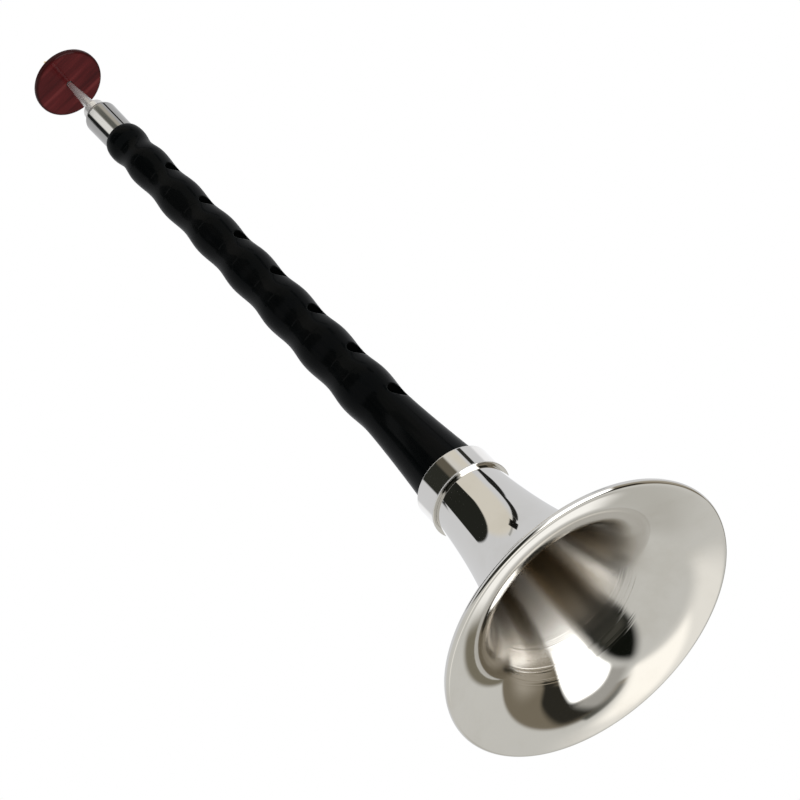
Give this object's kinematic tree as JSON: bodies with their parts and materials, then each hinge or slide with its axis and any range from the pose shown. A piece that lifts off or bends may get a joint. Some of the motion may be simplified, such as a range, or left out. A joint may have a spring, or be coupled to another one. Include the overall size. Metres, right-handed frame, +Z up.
{
  "type": "suona double-reed horn",
  "caption": "Double-reed horn with a flared nickel bell, a waved black wooden pipe with finger holes, a sliding metal staple, a red wooden lip disc and a cane reed.",
  "frame": {"origin": "centre of the bell's mouth, on the surface that the rolled rim stands on", "axes": "+Z up the bore from the bell to the reed, finger holes facing -Y"},
  "size_m": [0.118, 0.118, 0.4372],
  "materials": {
    "nickel": "polished nickel plate",
    "steel_wire": "drawn wire",
    "ebony": "satin black",
    "cork": "matt cork",
    "rosewood": "polished dark red",
    "cane": "scraped cane",
    "thread": "waxed thread",
    "brass_wire": "soft brass wire"
  },
  "bodies": {
    "bell": {"bell_flare": "nickel", "bell_rim_wire": "steel_wire", "bell_collar": "nickel"},
    "pipe": {"pipe_body": "ebony", "tenon_cork": "cork", "receiver_sleeve": "nickel"},
    "staple": {"staple_tube": "nickel", "staple_cork": "cork", "staple_cone": "nickel"},
    "disc": {"lip_disc": "rosewood"},
    "reed": {"reed_cane": "cane", "reed_binding": "thread", "reed_wire": "brass_wire"}
  },
  "joints": [
    {"name": "pipe_pull", "type": "slide", "parent": "bell", "child": "pipe", "axis": [0, 0, 1], "range_m": [0, 0.03]},
    {"name": "tuning_slide", "type": "slide", "parent": "pipe", "child": "staple", "axis": [0, 0, 1], "range_m": [0, 0.018]},
    {"name": "disc_lift", "type": "slide", "parent": "staple", "child": "disc", "axis": [0, 0, 1], "range_m": [0, 0.0025]},
    {"name": "reed_pull", "type": "slide", "parent": "staple", "child": "reed", "axis": [0, 0, 1], "range_m": [0, 0.01]}
  ]
}
